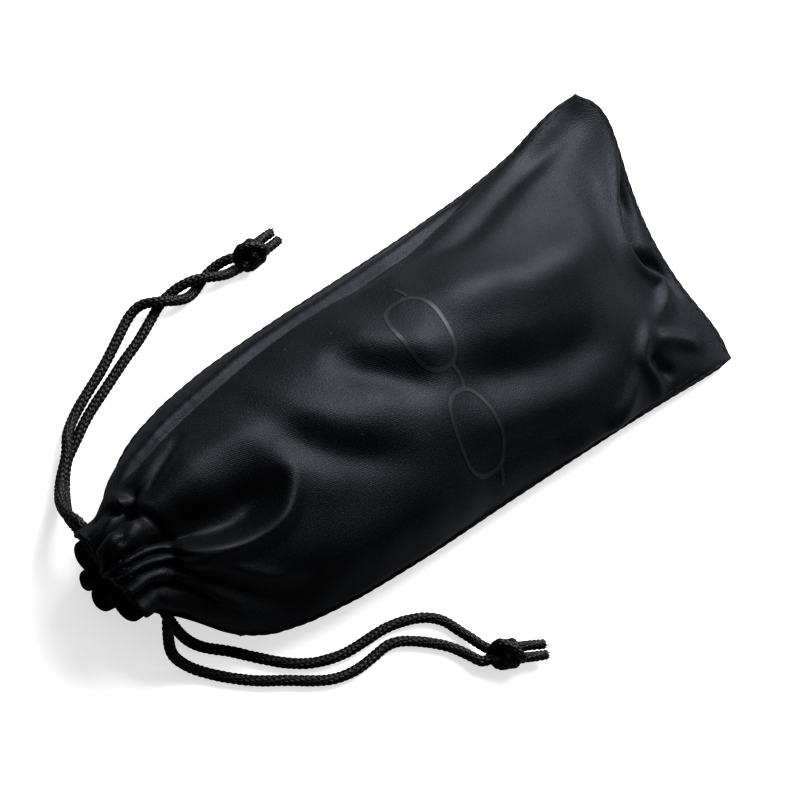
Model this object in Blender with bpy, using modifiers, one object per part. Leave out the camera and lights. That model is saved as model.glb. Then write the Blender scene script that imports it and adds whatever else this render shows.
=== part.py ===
"""Soft drawstring pouch for glasses, lying on its back, filled and pulled shut.

Metres, +Z up. +X runs from the gathered mouth to the closed end and +Y is the pouch's left side.
The origin is on the surface that it lies on, under the middle of the cloth.
"""

import math

import bmesh
import bpy
from mathutils import Matrix, Vector

# ---- driving dimensions ------------------------------------------------------------------------
CLOTH = 0.0008            # one layer of brushed microfibre
CORD = 0.0027             # braided drawstring, diameter
THREAD = 0.0006           # overlock and topstitch thread, diameter
GAP = 0.0003              # air left between pieces that touch

RIM_X = -0.0975           # open edge of the mouth, at its left side
RIM_SLANT = 0.0025        # how much shorter the channel is at its right side
CHANNEL_X = -0.0795       # stitched foot of the drawstring channel
END_X = 0.0970            # furthest reach of the closed end, beside its left corner
END_BEND_X = 0.055        # the closed end's curve fades out towards here
MOUTH = Vector((0.0, 0.0016, 0.0148))   # a point on the mouth's axis, which runs along X

CORD_RING = 0.0085        # radius of both drawstrings' rings inside the channel
THROAT = 0.00645          # radius of the channel's inner wall
SLIT = 0.0039             # half height of the slit that a drawstring leaves through
FLUTES = 8                # ruffles round the gathered mouth
FLUTE_DEPTH = 0.0012
LEFT_CORD_X = -0.0938     # the left drawstring runs nearer the rim
RIGHT_CORD_X = -0.0900

SEAM_LIFT = 0.0010        # each panel's edge stands this far from the seam line
END_LIFT = 0.0016         # the same where the closed end's turned-in layers lie between the panels
SEAM_START_X = -0.0715    # the side seams run from here
SEAM_EDGE_END_X = 0.0885  # where the side seams' inner edges meet the closed end's one
SEAM_EDGE_WIDTH = 0.0040  # overlocked edge inside each seam
SEAM_EDGE_THICKNESS = 0.0010
STITCH = 0.0034           # length of one overlock stitch

LENGTH_FACES = 28
ACROSS_FACES = 24

# Cross-sections of the pouch: x, left seam y, right seam y, left seam z, right seam z,
# rise of the front panel over the seam line, fall of the back panel under it.
SECTIONS = (
    (-0.0975, 0.0140, -0.0108, 0.0148, 0.0148, 0.0126, 0.0124),
    (-0.0910, 0.0142, -0.0112, 0.0148, 0.0148, 0.0126, 0.0122),
    (-0.0855, 0.0178, -0.0156, 0.0146, 0.0142, 0.0140, 0.0118),
    (-0.0800, 0.0212, -0.0230, 0.0143, 0.0125, 0.0158, 0.0104),
    (-0.0750, 0.0236, -0.0276, 0.0140, 0.0108, 0.0172, 0.0114),
    (-0.0680, 0.0264, -0.0312, 0.0136, 0.0092, 0.0186, 0.0140),
    (-0.0580, 0.0291, -0.0338, 0.0130, 0.0078, 0.0200, 0.0150),
    (-0.0430, 0.0314, -0.0359, 0.0122, 0.0068, 0.0222, 0.0155),
    (-0.0200, 0.0328, -0.0373, 0.0118, 0.0064, 0.0238, 0.0155),
    (0.0050, 0.0335, -0.0379, 0.0118, 0.0064, 0.0234, 0.0155),
    (0.0280, 0.0342, -0.0386, 0.0122, 0.0062, 0.0212, 0.0150),
    (0.0480, 0.0354, -0.0393, 0.0132, 0.0056, 0.0175, 0.0140),
    (0.0680, 0.0376, -0.0402, 0.0154, 0.0044, 0.0115, 0.0090),
    (0.0840, 0.0404, -0.0410, 0.0188, 0.0036, 0.0052, 0.0036),
    (0.0970, 0.0416, -0.0414, 0.0214, 0.0030, 0.0008, 0.0005),
)
# The closed end's line: share across from the right corner, how far it falls short of END_X.
END_LINE = (
    (0.00, 0.0062), (0.12, 0.0048), (0.30, 0.0060), (0.45, 0.0060), (0.58, 0.0048),
    (0.70, 0.0028), (0.80, 0.0008), (0.88, 0.0000), (0.94, 0.0014), (1.00, 0.0060),
)
# Where the rows of faces fall: share of the rows, x.
ROW_PLACES = ((0.0, RIM_X), (0.25, CHANNEL_X), (0.46, -0.055), (0.77, 0.050), (1.0, END_X))

# ---- drawstrings: route points from the slit to the knot ----------------------------------------
POINT_SPACING = 2 * CORD
SLIT_ROOT = 0.0056        # each strand starts this far from the mouth's axis
LEFT_ROUTE_1 = (
    (-0.0938, 0.0155, 0.01655), (-0.0940, 0.0192, 0.0134), (-0.0922, 0.0232, 0.0090),
    (-0.0888, 0.0274, 0.0058), (-0.0852, 0.0308, 0.0049), (-0.0823, 0.0336, 0.0047),
    (-0.0791, 0.0376, 0.0038), (-0.0744, 0.0411, 0.0020), (-0.0685, 0.0443, 0.0015),
    (-0.0616, 0.0476, 0.0015), (-0.0550, 0.0513, 0.0015), (-0.0500, 0.0543, 0.0015),
    (-0.0459, 0.0565, 0.0018), (-0.0424, 0.0568, 0.0033),
)
LEFT_ROUTE_2 = (
    (-0.0938, 0.0150, 0.01305), (-0.0928, 0.0188, 0.0094), (-0.0902, 0.0228, 0.0050),
    (-0.0866, 0.0276, 0.0019), (-0.0826, 0.0324, 0.0015), (-0.0780, 0.0354, 0.0015),
    (-0.0732, 0.0384, 0.0015), (-0.0688, 0.0407, 0.0015), (-0.0616, 0.0439, 0.0015),
    (-0.0544, 0.0471, 0.0015), (-0.0486, 0.0494, 0.0015), (-0.0428, 0.0523, 0.0015),
)
RIGHT_ROUTE_1 = (
    (-0.0884, -0.0126, 0.01655), (-0.0906, -0.0174, 0.0128), (-0.0913, -0.0216, 0.0078),
    (-0.0888, -0.0256, 0.0037), (-0.0854, -0.0294, 0.0018), (-0.0811, -0.0338, 0.0015),
    (-0.0758, -0.0383, 0.0015), (-0.0700, -0.0421, 0.0015), (-0.0642, -0.0462, 0.0015),
    (-0.0594, -0.0488, 0.0015), (-0.0538, -0.0501, 0.0015), (-0.0480, -0.0500, 0.0015),
    (-0.0432, -0.0497, 0.0015), (-0.0392, -0.0510, 0.0015), (-0.0342, -0.0547, 0.0015),
    (-0.0297, -0.0592, 0.0015), (-0.0270, -0.0640, 0.0022), (-0.0254, -0.0675, 0.0034),
)
RIGHT_ROUTE_2 = (
    (-0.0884, -0.0122, 0.01305), (-0.0874, -0.0164, 0.0092), (-0.0852, -0.0206, 0.0044),
    (-0.0820, -0.0242, 0.0018), (-0.0772, -0.0285, 0.0015), (-0.0724, -0.0337, 0.0015),
    (-0.0673, -0.0387, 0.0015), (-0.0615, -0.0426, 0.0015), (-0.0543, -0.0450, 0.0015),
    (-0.0478, -0.0456, 0.0015), (-0.0413, -0.0459, 0.0015), (-0.0354, -0.0473, 0.0015),
    (-0.0302, -0.0497, 0.0015), (-0.0268, -0.0530, 0.0015), (-0.0252, -0.0568, 0.0015),
    (-0.0238, -0.0608, 0.0022), (-0.0229, -0.0646, 0.0034),
)
# The left strands wind round each other along this line before their knot.
TWIST_ROUTE = (
    (-0.0382, 0.0546, 0.0032), (-0.0305, 0.0541, 0.0032),
    (-0.0230, 0.0544, 0.0033), (-0.0150, 0.0537, 0.0039),
)
TWIST_RADIUS = 0.00175
TWIST_TURNS = 0.85
TWIST_START = math.radians(95)
LEFT_KNOT = Vector((-0.0099, 0.0534, 0.0042))
RIGHT_KNOT = Vector((-0.0197, -0.0691, 0.0042))
LEFT_KNOT_SIZE = (0.0043, 0.0040, 0.0038)     # half sizes along the cord, across it and upright
RIGHT_KNOT_SIZE = (0.0040, 0.0046, 0.0038)
LEFT_ENDS_LENGTH = 0.0055
RIGHT_ENDS_LENGTH = 0.0072
ENDS_SPREAD = 0.0031      # between the two cut ends past a knot

BLACK_CLOTH = (0.012, 0.013, 0.017, 1.0)
BLACK_CORD = (0.010, 0.010, 0.012, 1.0)
BLACK_THREAD = (0.016, 0.017, 0.021, 1.0)


# ---- smooth curves ------------------------------------------------------------------------------
def hermite(before, start, end, after, share):
    """A Catmull-Rom step from start to end, for numbers or vectors."""
    slope_in = (end - before) * 0.5
    slope_out = (after - start) * 0.5
    square = share * share
    cube = square * share
    return (
        start * (2 * cube - 3 * square + 1)
        + slope_in * (cube - 2 * square + share)
        + end * (3 * square - 2 * cube)
        + slope_out * (cube - square)
    )


def smooth_route(points, spacing):
    """Points about `spacing` apart along the smooth curve through `points`."""
    route = [Vector(point) for point in points]
    route = [2 * route[0] - route[1], *route, 2 * route[-1] - route[-2]]
    read = []
    for before, start, end, after in zip(route, route[1:], route[2:], route[3:]):
        steps = max(1, round((end - start).length / spacing))
        read += [hermite(before, start, end, after, step / steps) for step in range(steps)]
    return [*read, Vector(points[-1])]


def smooth_step(low, high, value):
    share = min(max((value - low) / (high - low), 0.0), 1.0)
    return share * share * (3 - 2 * share)


def read_rows(rows, at):
    """The numbers of a table, read from smooth curves where its first column is `at`."""
    last = len(rows) - 2
    index = next((i for i in range(last) if at < rows[i + 1][0]), last)
    start = Vector(rows[index])
    end = Vector(rows[index + 1])
    before = Vector(rows[index - 1]) if index else 2 * start - end
    after = Vector(rows[index + 2]) if index < last else 2 * end - start
    return hermite(before, start, end, after, (at - start[0]) / (end[0] - start[0]))


def row_x(share):
    for (low, low_x), (high, high_x) in zip(ROW_PLACES, ROW_PLACES[1:]):
        if share <= high:
            return low_x + (high_x - low_x) * (share - low) / (high - low)
    return END_X


# ---- the pouch's surface ------------------------------------------------------------------------
def seam_height(x, across):
    """Height of the line between the two side seams: across is 0 at the right one and 1 at the left."""
    _, _, _, left_z, right_z, _, _ = read_rows(SECTIONS, x)
    curl = 1.0 + 0.9 * smooth_step(0.02, 0.08, x)
    return right_z + (left_z - right_z) * across ** curl


def rim_shift(x, across):
    """How far the slanted rim moves a point of the channel along X."""
    return RIM_SLANT * (1 - across) * (1 - smooth_step(RIM_X, CHANNEL_X, x))


def end_shift(x, across):
    """How far the closed end's uneven line draws a point back along X."""
    return read_rows(END_LINE, across)[1] * smooth_step(END_BEND_X, END_X, x)


def shifted_x(x, across):
    return x + rim_shift(x, across) - end_shift(x, across)


def on_seam_line(x, across, outward=0.0):
    """A point of the seam plane, moved `outward` past the nearer side seam."""
    _, left_y, right_y, _, _, _, _ = read_rows(SECTIONS, x)
    side = outward if across > 0.5 else -outward
    y = right_y + (left_y - right_y) * across + side
    return Vector((shifted_x(x, across), y, seam_height(x, across)))


def slit_share(x):
    """1 in the channel, where the side seams are open, and 0 where they are sewn."""
    return 1 - smooth_step(CHANNEL_X, CHANNEL_X + 0.006, x)


def flutes(x, angle):
    depth = FLUTE_DEPTH * (1 - smooth_step(CHANNEL_X, -0.060, x))
    return depth * math.cos(FLUTES * (angle - math.pi / 2))


def on_panel(x, across, front):
    """A point of a panel's outer face: `across` runs from the right seam to the left one."""
    _, left_y, right_y, _, _, rise, fall = read_rows(SECTIONS, x)
    start = slit_share(x) * math.asin(min(SLIT / rise, 1.0))
    angle = math.pi - start - (math.pi - 2 * start) * across
    lift = (1 - slit_share(x)) * (SEAM_LIFT + (END_LIFT - SEAM_LIFT) * smooth_step(0.05, 0.085, x))
    lens = 1.0 + 0.35 * smooth_step(CHANNEL_X, -0.055, x)
    ripple = flutes(x, angle)
    half_width = (left_y - right_y) / 2 + ripple
    y = (left_y + right_y) / 2 + half_width * math.cos(angle)
    share = min(max((y - right_y) / (left_y - right_y), 0.0), 1.0)
    base = seam_height(x, share)
    swell = lift + (rise if front else fall) * math.sin(angle) ** lens + ripple * math.sin(angle)
    z = base + swell if front else max(base - swell, 0.0)
    return Vector((shifted_x(x, share), y, z))


def on_hem(share, across, front):
    """A point of the channel's inner wall, which flares out to the panel at the rim and at its foot."""
    x = RIM_X + CLOTH / 2 + (CHANNEL_X - RIM_X - CLOTH) * share
    flare = max(1 - share / 0.10, (share - 0.88) / 0.12, 0.0)
    start = math.asin(SLIT / THROAT)
    angle = math.pi - start - (math.pi - 2 * start) * across
    up = THROAT * math.sin(angle)
    panel = on_panel(x, across, front)
    throat = Vector((panel.x, MOUTH.y + THROAT * math.cos(angle), MOUTH.z + (up if front else -up)))
    inward = Vector((0, MOUTH.y - panel.y, MOUTH.z - panel.z)).normalized()
    return throat.lerp(panel + inward * (2.5 * CLOTH + GAP), flare)


# ---- Blender helpers ----------------------------------------------------------------------------
def clear_scene():
    for obj in list(bpy.data.objects):
        bpy.data.objects.remove(obj, do_unlink=True)


def material(name, colour, roughness):
    made = bpy.data.materials.new(name)
    made.use_nodes = True
    shader = made.node_tree.nodes["Principled BSDF"]
    shader.inputs["Base Color"].default_value = colour
    shader.inputs["Roughness"].default_value = roughness
    shader.inputs["Metallic"].default_value = 0.0
    return made


def add_part(name, data, finish, parent=None):
    part = bpy.data.objects.new(name, data)
    data.materials.append(finish)
    POUCH.objects.link(part)
    if parent:
        part.parent = parent
        part.matrix_parent_inverse = parent.matrix_world.inverted()
    return part


def sheet(name, finish, rows, columns, place, outward, thickness=CLOTH, offset=-1.0):
    """A grid shaped by place(length share, across share) and given its thickness by Solidify."""
    grid = bmesh.new()
    bmesh.ops.create_grid(grid, x_segments=rows, y_segments=columns, size=0.5)
    for vert in grid.verts:
        vert.co = place(vert.co.x + 0.5, vert.co.y + 0.5)
    middle = min(grid.faces, key=lambda face: (face.calc_center_median() - grid_centre(grid)).length)
    middle.normal_update()
    if middle.normal.dot(outward) < 0:
        bmesh.ops.reverse_faces(grid, faces=grid.faces)
    mesh = bpy.data.meshes.new(name)
    grid.to_mesh(mesh)
    grid.free()
    mesh.shade_smooth()
    part = add_part(name, mesh, finish)
    solid = part.modifiers.new("Thickness", "SOLIDIFY")
    solid.thickness = thickness
    solid.offset = offset
    return part


def grid_centre(grid):
    return sum((vert.co for vert in grid.verts), Vector()) / len(grid.verts)


def tube(name, finish, points, diameter, parent=None, resolution=2):
    """A round strand along the points: a POLY spline with filled caps."""
    curve = bpy.data.curves.new(name, "CURVE")
    curve.dimensions = "3D"
    curve.bevel_depth = diameter / 2
    curve.bevel_resolution = resolution
    curve.use_fill_caps = True
    spline = curve.splines.new("POLY")
    spline.points.add(len(points) - 1)
    for slot, point in zip(spline.points, points):
        slot.co = (*point, 1.0)
    return add_part(name, curve, finish, parent)


def empty(name, place):
    marker = bpy.data.objects.new(name, None)
    marker.location = place
    marker.empty_display_size = 0.01
    POUCH.objects.link(marker)
    bpy.context.view_layer.update()
    return marker


# ---- cloth --------------------------------------------------------------------------------------
def make_panels(cloth):
    for name, front in (("front_panel", True), ("back_panel", False)):
        outward = Vector((0, 0, 1 if front else -1))
        sheet(name, cloth, LENGTH_FACES, ACROSS_FACES,
              lambda along, across, front=front: on_panel(row_x(along), across, front), outward)


def make_channel_hems(cloth):
    for name, front in (("front_channel_hem", True), ("back_channel_hem", False)):
        outward = Vector((0, 0, -1 if front else 1))
        sheet(name, cloth, 12, ACROSS_FACES,
              lambda along, across, front=front: on_hem(along, across, front), outward, offset=0.0)


def make_seam_edges(thread):
    """The overlocked edges turned in behind the side seams and the closed end."""
    inset = CLOTH / 2

    def side_strip(left):
        def place(along, across):
            x = SEAM_START_X + (SEAM_EDGE_END_X - SEAM_START_X) * along
            _, left_y, right_y, _, _, _, _ = read_rows(SECTIONS, x)
            inward = (inset + SEAM_EDGE_WIDTH * across) / (left_y - right_y)
            return on_seam_line(x, 1 - inward if left else inward)
        return place

    def end_strip(along, across):
        point = on_seam_line(END_X, 0.07 + 0.86 * across)
        point.x -= inset + SEAM_EDGE_WIDTH * (1 - along)
        return point

    up = Vector((0, 0, 1))
    sheet("left_seam_edge", thread, 24, 1, side_strip(True), up, SEAM_EDGE_THICKNESS, 0.0)
    sheet("right_seam_edge", thread, 24, 1, side_strip(False), up, SEAM_EDGE_THICKNESS, 0.0)
    sheet("closed_end_seam_edge", thread, 1, 16, end_strip, up, SEAM_EDGE_THICKNESS, 0.0)


# ---- sewing -------------------------------------------------------------------------------------
def make_seam_threads(thread):
    """Overlock thread that zigzags along the outside of each seam."""
    clear = THREAD / 2 + GAP + 0.0001
    swing = 0.0005
    first, last = SEAM_START_X, 0.0930
    stitches = round((last - first) / STITCH)
    for name, across in (("left_seam_thread", 1.0), ("right_seam_thread", 0.0)):
        points = []
        for stitch in range(stitches + 1):
            x = first + (last - first) * stitch / stitches
            point = on_seam_line(x, across, clear * math.hypot(1, seam_slope(x, across)))
            point.z += swing if stitch % 2 else -swing
            points.append(point)
        tube(name, thread, points, THREAD, resolution=0)
    points = []
    stitches = round(0.075 / STITCH)
    for stitch in range(stitches + 1):
        point = on_seam_line(END_X, 0.04 + 0.92 * stitch / stitches)
        point.x += clear + 0.0001
        point.z += swing if stitch % 2 else -swing
        points.append(point)
    tube("closed_end_thread", thread, points, THREAD, resolution=0)


def seam_slope(x, across):
    step = 0.001
    ahead = on_seam_line(x + step, across).y
    behind = on_seam_line(x - step, across).y
    return (ahead - behind) / (2 * step)


def make_channel_threads(thread):
    """The topstitch row that closes the channel's foot, half on each panel."""
    clear = THREAD / 2 + GAP + 0.0002
    points_across = 25
    for name, front in (("front_channel_thread", True), ("back_channel_thread", False)):
        points = []
        for step in range(points_across):
            share = 0.03 + 0.94 * step / (points_across - 1)
            point = on_panel(CHANNEL_X, share, front)
            outward = Vector((0, point.y - MOUTH.y, point.z - MOUTH.z)).normalized()
            points.append(point + outward * clear)
        tube(name, thread, points, THREAD, resolution=0)


def make_slit_bartacks(thread):
    """A dense bar of stitches across the foot of each slit."""
    x = CHANNEL_X + 0.0045
    for name, across in (("left_slit_bartack", 1.0), ("right_slit_bartack", 0.0)):
        slope = seam_slope(x, across)
        centre = on_seam_line(x, across)
        side = 1 if across > 0.5 else -1
        normal = Vector((-slope * side, side, 0)).normalized()
        bar = bmesh.new()
        bmesh.ops.create_cube(bar, size=1.0)
        bmesh.ops.scale(bar, vec=(0.0016, 0.0007, 0.0052), verts=bar.verts)
        mesh = bpy.data.meshes.new(name)
        bar.to_mesh(mesh)
        bar.free()
        part = add_part(name, mesh, thread)
        part.location = centre + normal * 0.0011
        part.rotation_euler = (0, 0, math.atan(slope))
        rounding = part.modifiers.new("Rounding", "BEVEL")
        rounding.width = 0.00025
        rounding.segments = 1


# ---- drawstrings --------------------------------------------------------------------------------
def ring_points(x, side):
    """A drawstring's run round the mouth: from above its own slit, right round, to below it."""
    opening = math.radians(33)
    steps = 18
    points = []
    for step in range(steps + 1):
        angle = opening + (2 * math.pi - 2 * opening) * step / steps
        across = side * math.cos(angle)
        slanted = x + rim_shift(x, (1 + across) / 2)
        points.append(MOUTH + Vector((slanted, CORD_RING * across, CORD_RING * math.sin(angle))))
    return points


def root_points(route, side):
    """The straight stretch of a strand inside its slit."""
    x, _, z = route[0]
    return [(x, MOUTH.y + side * reach, z) for reach in (SLIT_ROOT, SLIT_ROOT + 0.0035)]


def twisted_points(phase):
    """One strand of the twisted pair along TWIST_ROUTE."""
    line = smooth_route(TWIST_ROUTE, POINT_SPACING / 2)
    points = []
    for index, point in enumerate(line):
        ahead = line[min(index + 1, len(line) - 1)] - line[max(index - 1, 0)]
        level = Vector((-ahead.y, ahead.x, 0)).normalized()
        angle = TWIST_START + phase + 2 * math.pi * TWIST_TURNS * index / (len(line) - 1)
        swing = level * math.cos(angle) + Vector((0, 0, math.sin(angle)))
        points.append(point + swing * TWIST_RADIUS)
    return points


def make_knot(name, finish, place, size, turn, parent):
    """The outer shape of an overhand knot tied in both strands."""
    ball = bmesh.new()
    bmesh.ops.create_uvsphere(ball, u_segments=14, v_segments=9, radius=1.0)
    shape = Matrix.Rotation(turn, 4, "Z") @ Matrix.Diagonal((*size, 1.0))
    bmesh.ops.transform(ball, matrix=shape, verts=ball.verts)
    mesh = bpy.data.meshes.new(name)
    ball.to_mesh(mesh)
    ball.free()
    mesh.shade_smooth()
    mesh.transform(Matrix.Translation(place - parent.matrix_world.translation))
    knot = add_part(name, mesh, finish)
    knot.parent = parent
    return knot


def cut_end_runs(place, size, turn, length):
    """The two short cut ends that leave a knot side by side."""
    along = Vector((math.cos(turn), math.sin(turn), 0))
    level = Vector((-along.y, along.x, 0))
    runs = []
    for side in (-1, 1):
        start = place + along * (size[0] + GAP) + level * side * ENDS_SPREAD / 2
        end = start + along * length + Vector((0, 0, -0.0012))
        runs.append([start, start.lerp(end, 0.5), end])
    return runs


def make_drawstring(side_name, cord, side, x, strands, knot, size, turn, ends):
    """The ring in the channel stays with the cloth; strands, knot and cut ends are pulled together."""
    tube(f"{side_name}_drawstring_channel_run", cord, ring_points(x, side), CORD)
    slit_x = x + rim_shift(x, (1 + side) / 2)
    pull = empty(f"{side_name}_drawstring_pull", MOUTH + Vector((slit_x, side * SLIT_ROOT, 0)))
    for number, points in enumerate(strands, start=1):
        tube(f"{side_name}_drawstring_strand_{number}", cord, points, CORD, pull)
    make_knot(f"{side_name}_drawstring_knot", cord, knot, size, turn, pull)
    for number, points in enumerate(cut_end_runs(knot, size, turn, ends), start=1):
        tube(f"{side_name}_drawstring_cut_end_{number}", cord, points, CORD, pull)


def make_drawstrings(cord):
    left = []
    for route, phase in ((LEFT_ROUTE_1, 0.0), (LEFT_ROUTE_2, math.pi)):
        guide = [*root_points(route, 1), *route, *twisted_points(phase)]
        left.append(smooth_route(guide, POINT_SPACING))
    right = [smooth_route([*root_points(route, -1), *route], POINT_SPACING)
             for route in (RIGHT_ROUTE_1, RIGHT_ROUTE_2)]
    make_drawstring("left", cord, 1, LEFT_CORD_X, left, LEFT_KNOT, LEFT_KNOT_SIZE,
                    math.radians(8), LEFT_ENDS_LENGTH)
    make_drawstring("right", cord, -1, RIGHT_CORD_X, right, RIGHT_KNOT, RIGHT_KNOT_SIZE,
                    math.radians(-26), RIGHT_ENDS_LENGTH)


# ---- the object ---------------------------------------------------------------------------------
clear_scene()
POUCH = bpy.data.collections.new("glasses_pouch")
bpy.context.scene.collection.children.link(POUCH)
CLOTH_FINISH = material("brushed_microfibre", BLACK_CLOTH, 0.62)
CORD_FINISH = material("braided_cord", BLACK_CORD, 0.45)
THREAD_FINISH = material("sewing_thread", BLACK_THREAD, 0.50)

make_panels(CLOTH_FINISH)
make_channel_hems(CLOTH_FINISH)
make_seam_edges(THREAD_FINISH)
make_seam_threads(THREAD_FINISH)
make_channel_threads(THREAD_FINISH)
make_slit_bartacks(THREAD_FINISH)
make_drawstrings(CORD_FINISH)
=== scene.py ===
"""Looks for a soft drawstring pouch for glasses: satin microfibre, gathered mouth, two braided cords.

Metres, +Z up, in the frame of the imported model: +X runs from the mouth to the closed end and +Y is
the pouch's left side. The cloth's sections and the cords' routes repeat those of the CAD model.
The tables of folds are in millimetres.
"""

import math
from collections import namedtuple

import bmesh
import bpy
import numpy as np
from mathutils import Matrix, Vector, noise
from mathutils.bvhtree import BVHTree


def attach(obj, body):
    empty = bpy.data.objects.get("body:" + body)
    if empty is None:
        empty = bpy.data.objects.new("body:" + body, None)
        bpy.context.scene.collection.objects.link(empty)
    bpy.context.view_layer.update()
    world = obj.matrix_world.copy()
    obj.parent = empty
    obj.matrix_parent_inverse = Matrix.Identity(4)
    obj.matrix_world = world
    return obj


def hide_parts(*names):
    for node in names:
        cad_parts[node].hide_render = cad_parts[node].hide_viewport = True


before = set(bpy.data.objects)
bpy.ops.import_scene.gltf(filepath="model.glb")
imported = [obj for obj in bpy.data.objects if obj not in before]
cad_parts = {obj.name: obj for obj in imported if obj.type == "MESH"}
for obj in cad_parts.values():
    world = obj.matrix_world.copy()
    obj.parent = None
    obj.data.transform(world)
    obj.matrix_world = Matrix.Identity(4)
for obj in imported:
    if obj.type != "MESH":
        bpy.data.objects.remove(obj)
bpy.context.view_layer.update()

# ---- driving dimensions ----
CLOTH = 0.00055  # one layer of the panels' cloth
HEM_CLOTH = CLOTH * 0.7  # the channel's inner layer
CORD = 0.0027  # braided drawstring, diameter
THREAD = 0.00024  # sewing thread, diameter
SIDES = {"left": 1, "right": -1}  # which way each side lies along Y

RIM_X = -0.0975  # open edge of the mouth
CHANNEL_X = -0.0795  # stitched foot of the drawstring channel
END_X = 0.0970  # furthest reach of the closed end
END_BEND_X = 0.055  # the closed end's curve fades out towards here
MOUTH = np.array((0.0, 0.0016, 0.0148))  # a point on the mouth's axis, which runs along X
SLIT_END_X = -0.0815  # the panels meet from here on
SLIT = 0.0039  # half height of the slit that a drawstring leaves through
CORD_RING = 0.0085  # radius of the drawstrings' rings inside the channel
RING_X = {"left": -0.0938, "right": -0.0900}  # where each drawstring's ring passes the left slit
RING_SLANT = 0.0018  # both rings stand back by this much on the right
RIM_ROLL = 0.0007  # radius of the fold along the rim
RIM_TURN_IN = 0.0035  # the rim's cloth reaches this far in past the fold

SEAM_LIFT = 0.00035  # half the gap between the panels along a side seam
END_LIFT = 0.0006  # the same at the closed end
END_ROUND = 0.0030  # the closed end rounds over within this
SEAM_EDGE = 0.00072  # radius of the rolled edge along a seam
SEAM_START_X = -0.0765  # the side seams' edges and stitches run from here on
SEAM_INSET = 0.0016  # how far inside the edge a side seam's stitches lie
END_INSET_ROWS = 2.4  # the closed end's stitches lie this many rows before the end of the panel's grid
STITCH = 0.0034  # pitch of a seam's stitches and of its puckers
STITCH_SHARE = 0.66  # how much of the pitch a stitch covers
TOPSTITCH = 0.0024  # pitch of the stitches along the channel's foot
BARTACK_X = CHANNEL_X + 0.0045  # a dense bar of stitches past each slit
HEM_LENGTH = 0.0165  # the channel's inner layer runs this far in from the rim
HEM_THROAT = (0.0030, 0.0066)  # least and greatest radius of its narrowest place

# The panels' grids: rows from one x to the next, and columns from the right seam to the left.
ROW_COUNTS = ((RIM_X, CHANNEL_X, 52), (CHANNEL_X, -0.0500, 62), (-0.0500, 0.0550, 96), (0.0550, END_X, 68))
COLUMNS = 165

# x, left seam y, right seam y, left seam z, right seam z, rise of the front, fall of the back
SECTIONS = (
    (-0.0975, 0.0140, -0.0108, 0.0148, 0.0148, 0.0126, 0.0124),
    (-0.0910, 0.0142, -0.0112, 0.0148, 0.0148, 0.0126, 0.0122),
    (-0.0855, 0.0178, -0.0156, 0.0146, 0.0142, 0.0140, 0.0118),
    (-0.0800, 0.0212, -0.0230, 0.0143, 0.0125, 0.0158, 0.0104),
    (-0.0750, 0.0236, -0.0276, 0.0140, 0.0108, 0.0172, 0.0114),
    (-0.0680, 0.0264, -0.0312, 0.0136, 0.0092, 0.0186, 0.0140),
    (-0.0580, 0.0291, -0.0338, 0.0130, 0.0078, 0.0200, 0.0150),
    (-0.0430, 0.0314, -0.0359, 0.0122, 0.0068, 0.0222, 0.0155),
    (-0.0200, 0.0328, -0.0373, 0.0118, 0.0064, 0.0238, 0.0155),
    (0.0050, 0.0335, -0.0379, 0.0118, 0.0064, 0.0234, 0.0155),
    (0.0280, 0.0342, -0.0386, 0.0122, 0.0062, 0.0212, 0.0150),
    (0.0480, 0.0354, -0.0393, 0.0132, 0.0056, 0.0175, 0.0140),
    (0.0680, 0.0376, -0.0402, 0.0154, 0.0044, 0.0115, 0.0090),
    (0.0840, 0.0404, -0.0410, 0.0188, 0.0036, 0.0052, 0.0036),
    (0.0970, 0.0416, -0.0414, 0.0216, 0.0030, 0.0008, 0.0005),
)
# The closed end's line: share across from the right corner, how far it falls short of END_X.
END_LINE = (
    (0.00, 0.0062), (0.12, 0.0048), (0.30, 0.0060), (0.45, 0.0060), (0.58, 0.0048),
    (0.70, 0.0028), (0.80, 0.0008), (0.88, 0.0000), (0.94, 0.0014), (1.00, 0.0060),
)
# The rim's line: share across from the right slit, how far the rim stands back from RIM_X.
RIM_LINE = {
    "front": ((0.00, 0.0034), (0.10, 0.0020), (0.20, 0.0012), (0.33, 0.0002), (0.45, 0.0000),
              (0.58, 0.0002), (0.68, 0.0004), (0.76, 0.0010), (0.88, 0.0010), (1.00, 0.0006)),
    "back": ((0.00, 0.0040), (0.25, 0.0012), (0.50, -0.0002), (0.70, 0.0006), (0.85, 0.0012),
             (1.00, 0.0020)),
}
# Pleats: share across of each valley and its depth at the rim; then each ridge's height between them.
PLEATS = {
    "front": ((-0.09, 0.0020), (0.17, 0.0060), (0.32, 0.0062), (0.40, 0.0036), (0.48, 0.0070),
              (0.72, 0.0068), (1.08, 0.0024)),
    "back": ((-0.10, 0.0020), (0.24, 0.0064), (0.50, 0.0058), (0.74, 0.0066), (1.10, 0.0020)),
}
RIDGES = {
    "front": (0.0026, 0.0014, 0.0006, 0.0004, 0.0022, 0.0002),
    "back": (0.0006, 0.0006, 0.0004, -0.0012),
}
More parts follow.
